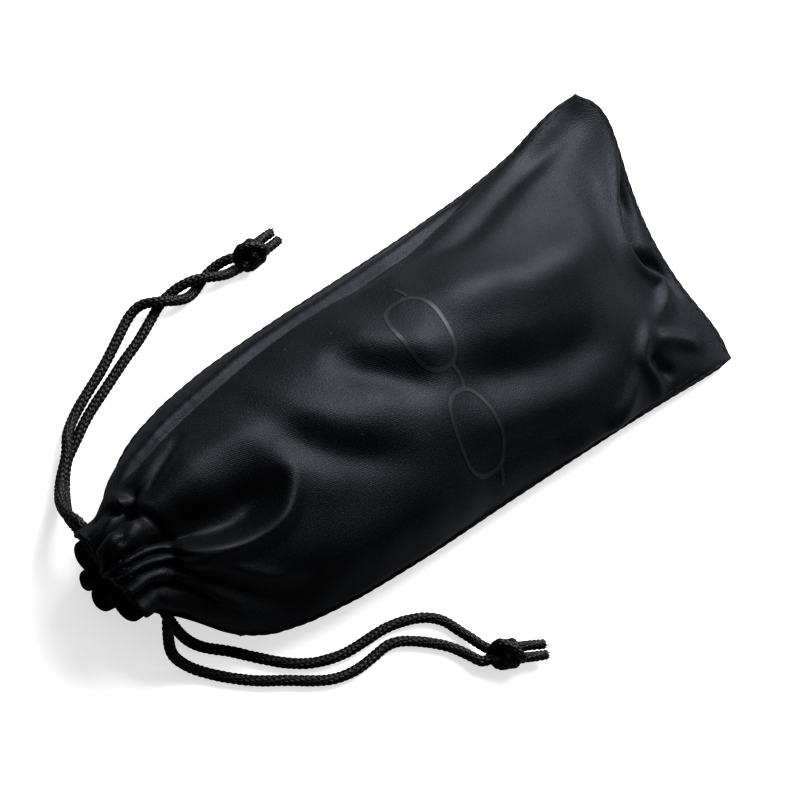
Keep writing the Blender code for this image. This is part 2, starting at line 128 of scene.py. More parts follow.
# How deep the valleys and how high the ridges are along the mouth: x, share of valley, of ridge.
PLEAT_FADE = (
    (-0.1000, 1.00, 1.00), (-0.0980, 1.00, 1.00), (-0.0955, 0.58, 0.95), (-0.0935, 0.33, 0.90),
    (-0.0885, 0.36, 0.80), (-0.0862, 0.66, 0.70), (-0.0845, 0.66, 0.45), (-0.0825, 0.40, 0.20),
    (-0.0800, 0.18, 0.06), (-0.0760, 0.05, 0.00), (-0.0700, 0.00, 0.00), (-0.0600, 0.00, 0.00),
)
RIM_CURL = 0.0036  # the top of the rim bends this far down over the opening
RIM_CURL_X = (-0.0925, -0.0985)  # where that bend starts and where it is full
MOUTH_PUFF = 0.0004  # the gathered channel stands proud of the sections by this much
PINCH = 0.0020  # the front sinks in by this much along the gathered channel's foot
PINCH_WIDTH = 0.0021
FOOT_MIDDLE = (-0.0828, 0.0005)  # x and y of the middle of that foot's line
FOOT_BOW = (0.0042, 0.0105)  # how far it bows towards the rim, and how far to the side of its middle
TOPSTITCH_BOW = 0.62  # the topstitches follow the foot's line, read at this share of their y
TOPSTITCH_FIRST_X = -0.0880  # and come no nearer the rim than this
CRINKLE_SIZE = 0.011  # gentle unevenness all over
CRINKLE_DEPTH = 0.00030

MM = 0.001
# Folds in millimetres: height, half width and points seen from above. A negative height is a valley.
FRONT_FOLDS = (
    # round the mouth
    (-1.2, 1.5, ((-83, 10), (-79, 11.2), (-73.5, 14), (-64, 18))),
    (1.8, 5.2, ((-79, 6.5), (-72, 8.8), (-64, 10), (-55, 9.5), (-48, 6), (-45.5, 1))),
    (-5, 5.4, ((-85, 1.8), (-78, -1), (-71, -3.4), (-64, -4.4), (-52, -3.6))),
    (-1.4, 2.4, ((-86, 0.4), (-80.5, -2.6), (-76.5, -4.8), (-71, -6.8), (-64, -7.8), (-57, -6))),
    (3.4, 2.6, ((-84, -2), (-81, -5.4), (-76.5, -8.5), (-69.5, -11.2), (-62.5, -12), (-56.5, -11.2),
        (-52, -8.5), (-48, -4))),
    (1.4, 2, ((-83.5, -8.2), (-79.5, -10.6), (-73.1, -16), (-66.8, -21.4), (-60, -25))),
    (-3.4, 3.6, ((-85, -11.5), (-79, -15.5), (-73, -20.8), (-66, -26.2), (-56, -29))),
    # the ruffle's creases
    (1.1, 1, ((-84.5, 15), (-86.6, 11), (-90, 9.6), (-93, 8.2))),
    (-1.2, 1.2, ((-84.5, 8.8), (-87.8, 7.4), (-91.5, 5.6))),
    (-0.9, 0.9, ((-97.2, 10.8), (-93.2, 12.2), (-89.8, 12.8))),
    (1.2, 1.4, ((-83.2, 12.6), (-85.2, 11.6), (-86.8, 12.4))),
    (-0.8, 0.8, ((-97.5, 1.8), (-93.8, 3.4), (-90.2, 4))),
    (-0.9, 0.9, ((-95, -8), (-91, -7.2), (-86.8, -7.8))),
    # the middle
    (2.6, 7.5, ((-62, -23.5), (-50, -26.2), (-38, -28), (-22, -29), (-5, -30))),
    (1.6, 5, ((25, -37.2), (40, -38.2), (56, -39.2))),
    (1.6, 5.8, ((-17, 20), (-12.5, 13.8), (-7.8, 9.8), (-1.5, 4.8), (3, -1.6))),
    (-2.6, 5.6, ((-23.5, 13), (-18.5, 8), (-14.1, 3.3), (-8.5, -2.5), (-4, -8))),
    (0.8, 4.8, ((-44, 16.5), (-38, 8.8), (-31.8, 1), (-23.5, -5.5))),
    (-1.8, 5, ((-50, 10), (-44, 2.2), (-37.8, -5.6), (-29.5, -12), (-20, -17))),
    (2.6, 7.2, ((3, 15), (11, 11.8), (25, 8.5), (38, 4.5), (50, 3.5), (62, 5), (72, 7))),
    (-4.2, 8, ((-1, -7), (10, -11.5), (22, -15.5), (36, -18), (52, -16))),
    (-1.1, 3, ((-6, -27), (8, -29), (22, -30.3), (36, -31))),
    (-1.6, 3.4, ((12, 22.8), (20, 23.4), (33, 23.5), (47, 26.8), (60, 30.2), (74, 32.5), (88, 35.2))),
    (-1.4, 1.7, ((-6, 27.6), (6, 28.1), (16, 28.8), (30, 30.6))),
    # the closed end
    (2.6, 2.6, ((96.5, 27), (91.4, 18.8), (86, 12), (82.2, 7.5), (78.5, 2), (77.3, -2), (78.3, -6.9),
        (82, -10.5), (83.9, -13), (82.5, -16.5), (79, -19.2), (73.5, -21.5))),
    (-3.4, 3, ((95, 20.5), (89.5, 12.5), (85.4, 7), (82.2, 1.2), (81.2, -2.2), (82.2, -6), (85.5, -9.2),
        (88, -12.5), (86.8, -18))),
    (1, 3.4, ((88, 22), (80, 11), (74.5, 2), (74, -7), (78, -13))),
    (1.6, 2.2, ((69, -21.5), (61.5, -26.5), (60, -30), (62, -35), (62.5, -39))),
    (1.1, 2.2, ((57, -31), (50, -35), (41, -38))),
    (1.7, 2.4, ((68, -25.6), (76, -29), (83.5, -33.5))),
    (-1.8, 2.4, ((64.5, -28.5), (66, -33), (69, -37))),
)
BACK_FOLDS = (
    (-1.4, 4, ((-80, 6), (-66, 10), (-50, 12))),
    (1.2, 4, ((-80, 0), (-66, 0), (-48, 2))),
    (-1.4, 4, ((-80, -8), (-66, -12), (-46, -15))),
    (-1, 6, ((50, 20), (65, 10), (72, -6))),
    (0.8, 4, ((88, 24), (80, 8), (82, -12), (78, -28))),
)
# The groove beside the left seam, in millimetres: the seam's inner edge shows through the cloth there.
SEAM_GROOVE = (
    (-84, 15), (-79.6, 17.8), (-71, 20.5), (-60.4, 23), (-45.9, 25.6),
    (-34, 27.4), (-18, 28.6), (0, 29.2), (18, 30.4), (36, 32.5), (54, 35),
)
# Height, distance outside the groove's line and half width.
GROOVE_VALLEY = (-0.0021, 0.0, 0.0009)
GROOVE_RIDGE = (0.0003, 0.0019, 0.0013)
GROOVE_PUCKERS = (0.00005, 0.0014, 0.0020)

# ---- drawstrings: the routes of the CAD model ----
POINT_SPACING = 2 * CORD  # spacing of a route's points in the CAD model
CORD_STEP = 0.00014  # spacing of the rings of a cord's mesh
SLIT_ROOT = 0.0056  # each strand starts this far from the mouth's axis in the CAD model
HIDDEN_ROOT = 0.0025  # and this much nearer it here, so that a pulled one still fills its slit
LEFT_ROUTE_1 = (
    (-0.0938, 0.0155, 0.01655), (-0.0940, 0.0192, 0.0134), (-0.0922, 0.0232, 0.0090),
    (-0.0888, 0.0274, 0.0058), (-0.0852, 0.0308, 0.0049), (-0.0823, 0.0336, 0.0047),
    (-0.0791, 0.0376, 0.0038), (-0.0744, 0.0411, 0.0020), (-0.0685, 0.0443, 0.0015),
    (-0.0616, 0.0476, 0.0015), (-0.0550, 0.0513, 0.0015), (-0.0500, 0.0543, 0.0015),
    (-0.0459, 0.0565, 0.0018), (-0.0424, 0.0568, 0.0033),
)
LEFT_ROUTE_2 = (
    (-0.0938, 0.0150, 0.01305), (-0.0928, 0.0188, 0.0094), (-0.0902, 0.0228, 0.0050),
    (-0.0866, 0.0276, 0.0019), (-0.0826, 0.0324, 0.0015), (-0.0780, 0.0354, 0.0015),
    (-0.0732, 0.0384, 0.0015), (-0.0688, 0.0407, 0.0015), (-0.0616, 0.0439, 0.0015),
    (-0.0544, 0.0471, 0.0015), (-0.0486, 0.0494, 0.0015), (-0.0428, 0.0523, 0.0015),
)
RIGHT_ROUTE_1 = (
    (-0.0884, -0.0126, 0.01655), (-0.0906, -0.0174, 0.0128), (-0.0913, -0.0216, 0.0078),
    (-0.0888, -0.0256, 0.0037), (-0.0854, -0.0294, 0.0018), (-0.0811, -0.0338, 0.0015),
    (-0.0758, -0.0383, 0.0015), (-0.0700, -0.0421, 0.0015), (-0.0642, -0.0462, 0.0015),
    (-0.0594, -0.0488, 0.0015), (-0.0538, -0.0501, 0.0015), (-0.0480, -0.0500, 0.0015),
    (-0.0432, -0.0497, 0.0015), (-0.0392, -0.0510, 0.0015), (-0.0342, -0.0547, 0.0015),
    (-0.0297, -0.0592, 0.0015), (-0.0270, -0.0640, 0.0022), (-0.0254, -0.0675, 0.0034),
)
RIGHT_ROUTE_2 = (
    (-0.0884, -0.0122, 0.01305), (-0.0874, -0.0164, 0.0092), (-0.0852, -0.0206, 0.0044),
    (-0.0820, -0.0242, 0.0018), (-0.0772, -0.0285, 0.0015), (-0.0724, -0.0337, 0.0015),
    (-0.0673, -0.0387, 0.0015), (-0.0615, -0.0426, 0.0015), (-0.0543, -0.0450, 0.0015),
    (-0.0478, -0.0456, 0.0015), (-0.0413, -0.0459, 0.0015), (-0.0354, -0.0473, 0.0015),
    (-0.0302, -0.0497, 0.0015), (-0.0268, -0.0530, 0.0015), (-0.0252, -0.0568, 0.0015),
    (-0.0238, -0.0608, 0.0022), (-0.0229, -0.0646, 0.0034),
)
# The left strands twist round each other along this line.
TWIST_ROUTE = (
    (-0.0382, 0.0546, 0.0032), (-0.0305, 0.0541, 0.0032),
    (-0.0230, 0.0544, 0.0033), (-0.0150, 0.0537, 0.0039),
)
TWIST_RADIUS = 0.00175
TWIST_TURNS = 0.85
TWIST_START = math.radians(95)
# A knot, how far its cut ends reach past it and the seed of their frayed tips.
Knot = namedtuple("Knot", "place turn half_length ends_length seed")
KNOTS = {
    "left": Knot(Vector((-0.0099, 0.0534, 0.0042)), math.radians(8), 0.0043, 0.0055, 7),
    "right": Knot(Vector((-0.0197, -0.0691, 0.0042)), math.radians(-26), 0.0040, 0.0072, 17),
}
KNOT_CORD = 0.0025  # a cord's diameter where it is pulled tight in its knot
CUT_END_CORD = 0.0026  # and where it leaves the knot
ENDS_SPREAD = 0.0028  # gap between a knot's two cut ends, centre to centre
ENDS_OVERLAP = 0.0008  # they start this far inside the knot
FIBRES = 26  # loose fibres at a cut end

TWILL = 0.00055  # spacing of the cloth's diagonal ribs, and of the finer ones across them
PICKS = 0.00040

BRAID_COLUMNS = 5  # columns of V stitches round the cord
BRAID_PITCH = 0.00140  # length of one V
BRAID_RELIEF = 0.00048  # depth of the gaps between the yarns
BRAID_TURN = 0.055  # the columns wind once round the cord in this length

PRINT_PLACE = (0.0010, -0.0070)
PRINT_TURN = math.radians(-92)
PRINT_LINE = 0.0011  # width of the printed lines
PRINT_LIFT = 0.00008  # the print lies this far above the cloth
LENS_HALF_WIDTH = 0.0103
LENS_HALF_HEIGHT = 0.0066
LENS_CENTRE = 0.0135  # distance from the middle of the bridge

# ---- camera and light ----
CAMERA_PLACE = Vector((-0.2365, -0.0674, 0.4630))
CAMERA_TARGET = Vector((0.0018, 0.0003, 0.0))
CAMERA_ROLL = math.radians(38.9)
CAMERA_LENS = 90.0
SKY_DIRECTION = (0.64, 0.43, 0.63)  # where the tent is brightest
SKY_COSINES = (0.1, 1.0)  # its strength rises between these cosines to that direction
SKY_STRENGTHS = (0.60, 6.9)
KEY_PLACE = (0.42, 0.20, 0.50)
KEY_SIZE = 0.45
KEY_POWER = 5.2
FLOOR_HALF = 4.0  # half the floor's width


# ---- smooth curves ----
def hermite(before, start, end, after, share):
    """A Catmull-Rom step from start to end."""
    slope_in = (end - before) * 0.5
    slope_out = (after - start) * 0.5
    square = share * share
    cube = square * share
    return (
        start * (2 * cube - 3 * square + 1)
        + slope_in * (cube - 2 * square + share)
        + end * (3 * square - 2 * cube)
        + slope_out * (cube - square)
    )


def smooth_table(rows, samples=40):
    """A reader for a table: it takes values of the first column and gives the others, smoothed."""
    rows = np.array(rows)
    rows = np.vstack([2 * rows[0] - rows[1], rows, 2 * rows[-1] - rows[-2]])
    share = np.linspace(0, 1, samples, endpoint=False)[:, None]
    places = []
    values = []
    for before, start, end, after in zip(rows, rows[1:], rows[2:], rows[3:]):
        places.append(start[0] + (end[0] - start[0]) * share[:, 0])
        values.append(hermite(before, start, end, after, share)[:, 1:])
    places = np.concatenate([*places, rows[-2:-1, 0]])
    values = np.vstack([*values, rows[-2:-1, 1:]])
    return lambda at: [np.interp(at, places, column) for column in values.T]


def smooth_route(points, spacing):
    """Points about `spacing` apart along the smooth curve through `points`, as an array."""
    route = np.array([tuple(point) for point in points])
    route = np.vstack([2 * route[0] - route[1], route, 2 * route[-1] - route[-2]])
    read = []
    for before, start, end, after in zip(route, route[1:], route[2:], route[3:]):
        steps = max(1, round(float(np.linalg.norm(end - start)) / spacing))
        share = np.linspace(0, 1, steps, endpoint=False)[:, None]
        read.append(hermite(before, start, end, after, share))
    return np.vstack([*read, route[-2:-1]])


def lengths_along(path):
    """The length along a path at each of its points."""
    return np.concatenate([[0], np.cumsum(np.linalg.norm(np.diff(path, axis=0), axis=1))])


def read_along(values, lengths, places):
    """The values, given at some lengths along a path, read at other places along it."""
    return np.stack([np.interp(places, lengths, column) for column in values.T], axis=1)


def even_route(points, spacing, soften):
    """The route read at even spacing, after rounding off anything shorter than `soften`."""
    fine = smooth_route(points, spacing)
    lengths = lengths_along(fine)
    even = read_along(fine, lengths, np.linspace(0, lengths[-1], round(lengths[-1] / spacing) + 1))
    reach = round(soften / spacing)
    weights = np.hanning(2 * reach + 3)[1:-1]
    weights /= weights.sum()
    mirrored = np.vstack([2 * even[0] - even[reach:0:-1], even, 2 * even[-1] - even[-2:-reach - 2:-1]])
    return np.stack([np.convolve(column, weights, "valid") for column in mirrored.T], axis=1)


def smooth_step(low, high, value):
    share = np.clip((value - low) / (high - low), 0.0, 1.0)
    return share * share * (3 - 2 * share)


def unit(vectors):
    return vectors / np.maximum(np.linalg.norm(vectors, axis=-1, keepdims=True), 1e-12)


# ---- meshes ----
def link(made):
    bpy.context.scene.collection.objects.link(made)
    return made


def make_object(name, points, faces, finish, flat=None):
    """A smooth-shaded mesh. `flat` gives each point's place on the uncut material, in metres."""
    mesh = bpy.data.meshes.new(name)
    mesh.from_pydata(np.asarray(points).tolist(), [], [tuple(map(int, face)) for face in faces])
    if flat is not None:
        layer = mesh.uv_layers.new(name="Flat")
        corners = np.empty(len(mesh.loops), np.int32)
        mesh.loops.foreach_get("vertex_index", corners)
        layer.data.foreach_set("uv", np.asarray(flat, np.float32)[corners].ravel())
    mesh.materials.append(finish)
    mesh.shade_smooth()
    return link(bpy.data.objects.new(name, mesh))


def thicken(sheet, thickness, offset):
    """Turns a sheet into a closed shell, grown inwards at an offset of -1 and both ways at 0."""
    shell = sheet.modifiers.new("Thickness", "SOLIDIFY")
    shell.thickness = thickness
    shell.offset = offset


def grid_faces(rows, columns, around=False):
    """Quads of a grid of points stored row by row. `around` joins the last column to the first."""
    across = columns if around else columns - 1
    row, column = np.meshgrid(np.arange(rows - 1), np.arange(across), indexing="ij")
    ahead = (column + 1) % columns
    corners = [row * columns + column, row * columns + ahead,
               (row + 1) * columns + ahead, (row + 1) * columns + column]
    return np.stack(corners, axis=-1).reshape(-1, 4)


def grid_normals(points):
    """Normals of a grid whose rows run along X and columns from right to left: outward on the front."""
    along = np.gradient(points, axis=0)
    across = np.gradient(points, axis=1)
    return unit(np.cross(along, across))


def frames_along(path):
    """Two side directions at each point of a path, turned as little as possible."""
    tangents = unit(np.gradient(path, axis=0))
    first = np.cross(tangents[0], (0.0, 0.0, 1.0))
    if np.linalg.norm(first) < 0.1:
        first = np.cross(tangents[0], (0.0, 1.0, 0.0))
    sides = [unit(first)]
    for tangent in tangents[1:]:
        sides.append(unit(sides[-1] - tangent * sides[-1].dot(tangent)))
    sides = np.array(sides)
    return sides, np.cross(tangents, sides)


def tube(path, radius, sides):
    """Points, faces and flat places of a closed tube. `radius` is a number or an array (path, sides)."""
    path = np.asarray(path)
    side, up = frames_along(path)
    angle = np.linspace(0, 2 * math.pi, sides, endpoint=False)
    turn = side[:, None] * np.cos(angle)[None, :, None] + up[:, None] * np.sin(angle)[None, :, None]
    radius = np.broadcast_to(np.asarray(radius, float), (len(path), sides))
    rings = path[:, None] + turn * radius[..., None]
    flat = np.stack(np.broadcast_arrays(lengths_along(path)[:, None], angle[None] * CORD / 2), axis=-1)
    points = np.vstack([rings.reshape(-1, 3), path[:1], path[-1:]])
    flat = np.vstack([flat.reshape(-1, 2), flat[0, :1], flat[-1, :1]])
    faces = [tuple(face) for face in grid_faces(len(path), sides, around=True)]
    start, end, last = len(points) - 2, len(points) - 1, (len(path) - 1) * sides
    for k in range(sides):
        after = (k + 1) % sides
        faces.append((start, after, k))
        faces.append((end, last + k, last + after))
    return points, faces, flat


def joined(parts):
    """Several (points, faces, flat) as one."""
    points, faces, flats = [], [], []
    count = 0
    for part_points, part_faces, part_flat in parts:
        faces += [tuple(index + count for index in face) for face in part_faces]
        points.append(part_points)
        flats.append(part_flat)
        count += len(part_points)
    return np.vstack(points), faces, np.vstack(flats)


# ---- the pouch's surface ----
read_section = smooth_table(SECTIONS)
read_end = smooth_table(END_LINE)
read_fade = smooth_table(PLEAT_FADE)
read_rim = {side: smooth_table(rows) for side, rows in RIM_LINE.items()}


def seam_height(x, across):
    """Height of the line between the side seams: across is 0 at the right one and 1 at the left."""
    _, _, left_z, right_z, _, _ = read_section(x)
    curl = 1.0 + 0.9 * smooth_step(0.02, 0.08, x)
    return right_z + (left_z - right_z) * across ** curl


def shifted_x(x, across, side):
    """X after the rim's and the closed end's uneven lines."""
    rim = read_rim[side](across)[0] * (1 - smooth_step(RIM_X, -0.0865, x))
    end = read_end(across)[0] * smooth_step(END_BEND_X, END_X, x)
    return x + rim - end


def above_floor(z, softness=0.0009):
    """Heights that level out just above the floor."""
    return softness * np.logaddexp(0.0, (z - 0.0002) / softness) + 0.0002


def smooth_panel(x, across, side):
    """The panel's outer face before its pleats and folds."""
    left_y, right_y, _, _, rise, fall = read_section(x)
    sewn = smooth_step(SLIT_END_X - 0.004, SLIT_END_X, x)
    start = (1 - sewn) * np.arcsin(np.minimum(SLIT / rise, 1.0))
    angle = math.pi - start - (math.pi - 2 * start) * across
    lift = sewn * (SEAM_LIFT + (END_LIFT - SEAM_LIFT) * smooth_step(0.05, 0.085, x))
    lens = 1.0 + 0.35 * smooth_step(CHANNEL_X, -0.055, x)
    y = (left_y + right_y) / 2 + (left_y - right_y) / 2 * np.cos(angle)
    share = np.clip((y - right_y) / (left_y - right_y), 0.0, 1.0)
    base = seam_height(x, share)
    past = np.clip((x - END_X + END_ROUND) / END_ROUND, 0.0, 1.0)
    full = np.sqrt(1 - past * past)
    bulge = np.maximum(np.sin(angle), 0.0) ** lens * full
    if side == "front":
        z = base + lift + rise * bulge
    else:
        z = above_floor(base - lift - fall * bulge)
    return np.stack([shifted_x(x, share, side), y, z], axis=-1)


def pleats(x, across, side):
    """How far the gathers move the cloth outwards near the mouth."""
    places = np.array([place for place, _ in PLEATS[side]])
    depths = np.array([depth for _, depth in PLEATS[side]])
    ridges = np.array(RIDGES[side])
    index = np.clip(np.searchsorted(places, across, side="right") - 1, 0, len(ridges) - 1)
    share = (across - places[index]) / (places[index + 1] - places[index])
    wave = (1 - np.abs(2 * share - 1) ** 2.3) ** 0.75
    depth = depths[index] + (depths[index + 1] - depths[index]) * share
    valley, ridge = read_fade(x)
    return ridges[index] * wave * ridge - depth * (1 - wave) * valley


def fold_heights(x, y, folds):
    """How far all the folds together raise the cloth at points seen from above."""
    step = 0.0010
    total = np.zeros_like(x)
    for height, width, route in folds:
        width *= MM
        line = smooth_route(np.array(route) * MM, step)
        ahead = unit(np.gradient(line, axis=0))
        low = line.min(axis=0) - 3 * width
        high = line.max(axis=0) + 3 * width
        near = (x > low[0]) & (x < high[0]) & (y > low[1]) & (y < high[1])
        here = np.column_stack([x[near], y[near]])
        nearest = ((here[:, None] - line[None]) ** 2).sum(axis=2).argmin(axis=1)
        gap = here - line[nearest]
        past = (gap * ahead[nearest]).sum(axis=1)
        beyond = np.where((nearest > 0) & (nearest < len(line) - 1), 0.0, past)
        side_gap = (gap ** 2).sum(axis=1) - past ** 2 + beyond ** 2
        along = (nearest + past / step) / (len(line) - 1)
        fade = np.minimum(smooth_step(-0.15, 0.3, along), smooth_step(-0.15, 0.3, 1 - along))
        total[near] += height * MM * fade * np.exp(-side_gap / width ** 2)
    return total


def swell(across, height, offset, width):
    """A rounded ridge along a line, or a valley where the height is negative."""
    return height * np.exp(-((across - offset) / width) ** 2)


def groove(x, y):
    """The seam groove, the low ridge outside it and the puckers that cross both."""
    line = smooth_route(np.array(SEAM_GROOVE) * MM, 0.0005)
    across = y - np.interp(x, line[:, 0], line[:, 1])
    first_x, last_x = line[0, 0], line[-1, 0]
    inside = smooth_step(first_x, first_x + 0.008, x) * (1 - smooth_step(last_x - 0.02, last_x, x))
    puckers = swell(across, *GROOVE_PUCKERS) * np.sin(2 * math.pi * x / STITCH)
    return inside * (swell(across, *GROOVE_VALLEY) + swell(across, *GROOVE_RIDGE) + puckers)


def crinkle(points):
    """Gentle unevenness of soft cloth."""
    heights = [noise.noise(Vector(point)) for point in points.reshape(-1, 3) / CRINKLE_SIZE]
    return CRINKLE_DEPTH * np.array(heights).reshape(points.shape[:-1])


def from_edges(x, across, right, left, end):
    """0 at a panel's sewn edges and 1 past the given distances: two shares across, and one in metres."""
    sides = smooth_step(0.0, right, across) * smooth_step(0.0, left, 1 - across)
    return sides * smooth_step(0, end, END_X - x)


def foot_x(y):
    """Where the gathered channel's foot runs across the front: nearer the rim at the sides."""
    middle_x, middle_y = FOOT_MIDDLE
    bow, reach = FOOT_BOW
    return middle_x - bow * ((y - middle_y) / reach) ** 2


def panel_grid(side):
    """The panel's outer face, as rows from the rim to the closed end, and its outward normals."""
    rows = [np.linspace(low, high, count, endpoint=False) for low, high, count in ROW_COUNTS]
    x = np.concatenate([*rows, [END_X]])
    x, across = np.meshgrid(x, np.linspace(0, 1, COLUMNS), indexing="ij")
    points = smooth_panel(x, across, side)
    outward = grid_normals(points) * (1 if side == "front" else -1)
    height = pleats(x, across, side) + MOUTH_PUFF * (1 - smooth_step(-0.0860, -0.0800, x))
    if side == "front":
        pinch = swell(x, PINCH, foot_x(points[..., 1]), PINCH_WIDTH)
        height -= pinch * smooth_step(0.08, 0.3, across) * smooth_step(0.06, 0.2, 1 - across)
        drop = smooth_step(*RIM_CURL_X, x) * swell(across, 1.0, 0.55, 0.27)
        height -= RIM_CURL * drop ** 1.5
        height += groove(points[..., 0], points[..., 1])
    folds = FRONT_FOLDS if side == "front" else BACK_FOLDS
    height += from_edges(x, across, 0.10, 0.06, 0.004) * fold_heights(points[..., 0], points[..., 1], folds)
    height += from_edges(x, across, 0.05, 0.05, 0.01) * crinkle(points)
    points = points + outward * height[..., None]
    points[..., 2] = np.maximum(points[..., 2], above_floor(points[..., 2] - 0.0004, 0.0003))
    return points, grid_normals(points) * (1 if side == "front" else -1)


def flat_places(points):
    """Each point's place on the flat cloth: the columns' mean length to its row, and the length across."""
    along = np.linalg.norm(np.diff(points, axis=0), axis=2).mean(axis=1)
    across = np.linalg.norm(np.diff(points, axis=1), axis=2)
    u = np.concatenate([[0], np.cumsum(along)])[:, None] + np.zeros(points.shape[:2])
    v = np.concatenate([np.zeros((len(points), 1)), np.cumsum(across, axis=1)], axis=1)
    return np.stack([u, v - v[:, -1:] / 2], axis=-1)


def rim_roll(outer, outward):
    """Rows that fold the cloth inwards round the rim, from deepest inside to the outer face."""
    edge = outer[0]
    normal = outward[0]
    ahead = unit(outer[0] - outer[2])
    rows = []
    for step in range(6):
        back = RIM_TURN_IN * (1 - step / 6)
        rows.append(edge - normal * 2 * RIM_ROLL - ahead * back)
    for step in range(7):
        angle = math.pi * (1 - step / 7)
        rows.append(edge - normal * RIM_ROLL * (1 - math.cos(angle)) + ahead * RIM_ROLL * math.sin(angle))
    return np.array(rows)


def make_panel(side, finish):
    """A panel's shell, and the grid of its outer face with that grid's normals."""
    outer, outward = panel_grid(side)
    points = np.vstack([rim_roll(outer, outward), outer])
    faces = grid_faces(*points.shape[:2])
    if side == "front":
        faces = faces[:, ::-1]
    flat = flat_places(points).reshape(-1, 2)
    panel = make_object(f"{side}_panel_cloth", points.reshape(-1, 3), faces, finish, flat)
    thicken(panel, CLOTH, -1.0)
    return panel, outer, outward


def row_at(outer, x):
    """The row of a panel's grid whose middle is at x, with its fraction."""
    return float(np.interp(x, outer[:, COLUMNS // 2, 0], np.arange(len(outer))))


def at_grid(grid, row, column):
    """A grid of points read between its rows and columns."""
    row = np.clip(row, 0, grid.shape[0] - 1.001)
    column = np.clip(column, 0, grid.shape[1] - 1.001)
    top, left = row.astype(int), column.astype(int)
    down, right = (row - top)[..., None], (column - left)[..., None]
    above = grid[top, left] * (1 - right) + grid[top, left + 1] * right
    below = grid[top + 1, left] * (1 - right) + grid[top + 1, left + 1] * right
    return above * (1 - down) + below * down


def inset_columns(outer, rows, left):
    """The column that lies SEAM_INSET inside the side edge in each of the rows."""
    columns = []
    for row in rows:
        edge = outer[int(row)]
        if left:
            edge = edge[::-1]
        column = np.interp(SEAM_INSET, lengths_along(edge), np.arange(len(edge)))
        columns.append(len(edge) - 1 - column if left else column)
    return np.array(columns)


def stitches(outer, outward, rows, columns, pitch):
    """A row of stitches that dip into the cloth at both ends, along a line of grid places."""
    line = at_grid(outer, rows, columns)
    normals = unit(at_grid(outward, rows, columns))
    lengths = lengths_along(line)
    parts = []
    for start in np.arange(pitch / 2, lengths[-1] - pitch, pitch):
        places = np.linspace(start, start + pitch * STITCH_SHARE, 9)
        away = read_along(normals, lengths, places)
        arch = np.sin(np.linspace(0, math.pi, 9)) ** 0.6
        path = read_along(line, lengths, places) + away * (arch * 0.35 * THREAD - 0.25 * THREAD)[:, None]
        parts.append(tube(path, THREAD / 2, 8))
    return parts


def scalloped_edge(path):
    """A rolled seam edge, drawn in at each stitch and tapered at both ends."""
    step = 0.0005
    path = even_route(path, step, 0.002)
    length = np.arange(len(path)) * step
    taper = smooth_step(0, 0.006, length) * smooth_step(0, 0.006, length[-1] - length)
    waist = (1 - 0.16 * np.abs(np.cos(math.pi * length / STITCH)) ** 6) * (0.3 + 0.7 * taper)
    return tube(path, (SEAM_EDGE * waist)[:, None], 12)


def hem_grid(outer, outward):
    """The channel's inner layer: from inside the rim's roll in to the throat and out to the foot."""
    edge = outer[0] - outward[0] * 2 * RIM_ROLL
    centre = MOUTH[1:]
    spoke = edge[:, 1:] - centre
    reach = np.linalg.norm(spoke, axis=1)
    spoke /= reach[:, None]
    throat = np.clip(0.62 * reach - 0.0006, *HEM_THROAT)
    rows = []
    for share in np.linspace(0, 1, 24):
        inward = smooth_step(0.0, 0.28, share)
        outward_again = smooth_step(0.62, 1.0, share)
        radius = reach + (throat - reach) * inward + (0.58 * reach - throat) * outward_again
        x = edge[:, 0] + 0.0003 + HEM_LENGTH * share
        rows.append(np.column_stack([x, centre + spoke * radius[:, None]]))
    return np.array(rows)


def bartack(side):
    """A dense bar of zigzag stitches across the side seam, just past a slit."""
    left_y, right_y, left_z, right_z, _, _ = read_section(BARTACK_X)
    y, z = (left_y, left_z) if side == "left" else (right_y, right_z)
    turns = 11
    zigzag = np.where(np.arange(turns) % 2, 0.00065, -0.00065)
    path = np.stack([BARTACK_X + zigzag, np.full(turns, y), z + np.linspace(-1, 1, turns) * 0.0014], axis=1)
    return tube(even_route(path, 0.0001, 0.0002), THREAD / 2, 8)


# ---- the faint outline printed on the front ----
def print_lines():
    """Centre lines of a plain pair of glasses, along X."""
    angle = np.linspace(0, 2 * math.pi, 120)
    lines = []
    for side in (-1, 1):
        wide = np.sign(np.cos(angle)) * np.abs(np.cos(angle)) ** 0.75 * LENS_HALF_WIDTH
        tall = np.sign(np.sin(angle)) * np.abs(np.sin(angle)) ** 0.75 * LENS_HALF_HEIGHT
        slope = 1 - 0.10 * wide / LENS_HALF_WIDTH * -side
        lines.append(np.stack([side * LENS_CENTRE + wide, tall * slope], axis=1))
        stub = np.linspace(0, 1, 14)
        lines.append(np.stack([side * (0.0240 + 0.0035 * stub), 0.0036 - 0.0006 * stub ** 2], axis=1))
    bridge = np.linspace(-1, 1, 16)
    lines.append(np.stack([0.0034 * bridge, 0.0020 + 0.0010 * (1 - bridge ** 2)], axis=1))
    return lines


